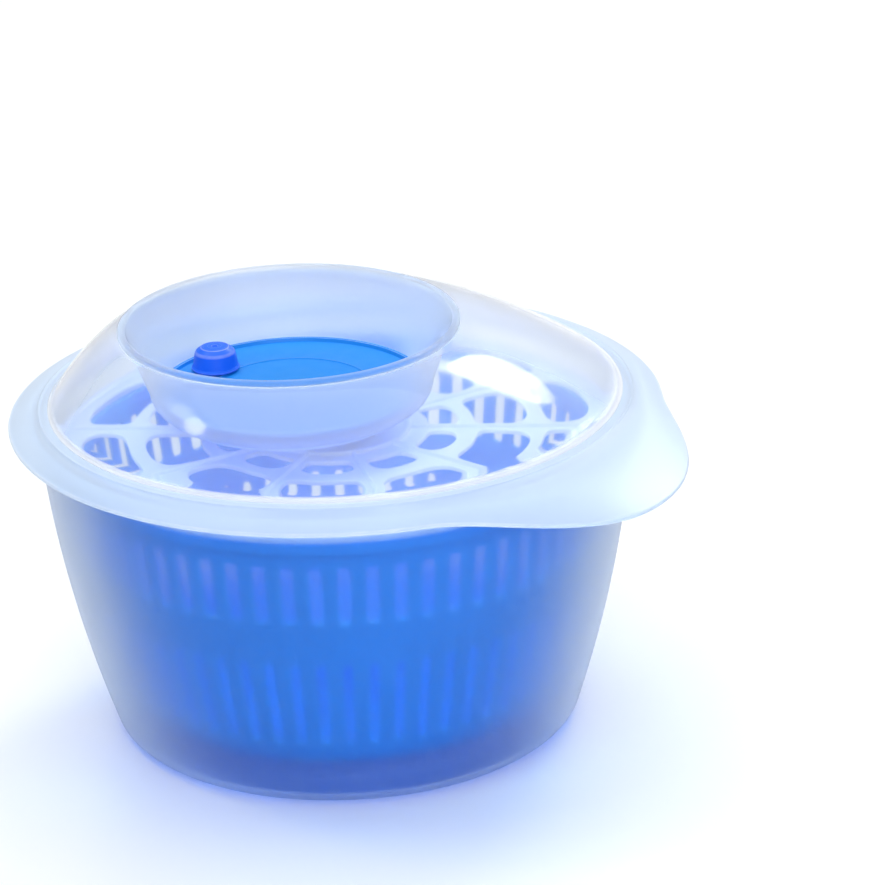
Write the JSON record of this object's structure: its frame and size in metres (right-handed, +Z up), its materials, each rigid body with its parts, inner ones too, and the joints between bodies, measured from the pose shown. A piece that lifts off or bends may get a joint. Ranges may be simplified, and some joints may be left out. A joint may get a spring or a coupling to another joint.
{
  "type": "salad spinner",
  "caption": "Hand-cranked salad spinner: frosted bowl with pouring beak, slotted basket under a lace-pattern cover, clear domed lid with an off-centre geared crank.",
  "frame": {"origin": "centre of the bowl's flat base, on the axis that the basket turns about, on the surface it stands on", "axes": "+Z up along the basket axis; the crank axis is 18 mm towards -X; the pouring beak points between +X and -Y"},
  "size_m": [0.2784, 0.2736, 0.1763],
  "materials": {
    "bowl_plastic": "frosted translucent",
    "lid_plastic": "clear, glossy",
    "cup_plastic": "frosted translucent",
    "basket_plastic": "translucent blue, satin",
    "cover_plastic": "milky translucent",
    "disc_plastic": "satin blue",
    "knob_plastic": "satin blue",
    "acetal": "smooth, low friction",
    "housing_plastic": "milky",
    "steel": "turned stainless"
  },
  "bodies": {
    "bowl": {"bowl": "bowl_plastic", "pivot_pin": "steel"},
    "bush": {"pivot_bush": "acetal"},
    "basket": {"basket": "basket_plastic"},
    "cover": {"basket_cover": "cover_plastic", "drive_socket": "acetal"},
    "lid": {"lid": "lid_plastic", "crank_cup": "cup_plastic", "gear_housing": "housing_plastic", "housing_screws": "steel", "crank_bush": "acetal", "spindle_bush": "acetal"},
    "crank": {"crank_disc": "disc_plastic", "crank_axle": "steel", "axle_washer": "steel", "axle_clip": "steel", "ring_gear": "acetal", "knob_pin": "steel", "knob_washer": "acetal"},
    "spindle": {"pinion": "acetal", "drive_spindle": "acetal"},
    "knob": {"knob": "knob_plastic", "knob_cap": "knob_plastic"}
  },
  "joints": [
    {"name": "lid_lift", "type": "slide", "parent": "bowl", "child": "lid", "axis": [0, 0, 1], "range_m": [0, 0.3]},
    {"name": "crank_spin", "type": "hinge", "parent": "lid", "child": "crank", "pos_m": [-0.018, 0, 0.139], "axis": [0, 0, 1], "continuous": true},
    {"name": "spindle_spin", "type": "hinge", "parent": "lid", "child": "spindle", "pos_m": [0, 0, 0.1374], "axis": [0, 0, 1], "continuous": true},
    {"name": "knob_spin", "type": "hinge", "parent": "crank", "child": "knob", "pos_m": [-0.04999, 0.025, 0.1475], "axis": [0, 0, 1], "continuous": true},
    {"name": "basket_spin", "type": "hinge", "parent": "bowl", "child": "bush", "pos_m": [0, 0, 0.009], "axis": [0, 0, 1], "continuous": true},
    {"name": "basket_lift", "type": "slide", "parent": "bush", "child": "basket", "axis": [0, 0, 1], "range_m": [0, 0.15]},
    {"name": "cover_lift", "type": "slide", "parent": "basket", "child": "cover", "axis": [0, 0, 1], "range_m": [0, 0.09]}
  ],
  "couplings": [
    {"joint": "spindle_spin", "follows": "crank_spin", "ratio": 3},
    {"joint": "basket_spin", "follows": "crank_spin", "ratio": 3},
    {"joint": "basket_lift", "follows": "lid_lift", "ratio": 0.5},
    {"joint": "cover_lift", "follows": "lid_lift", "ratio": 0.25}
  ]
}
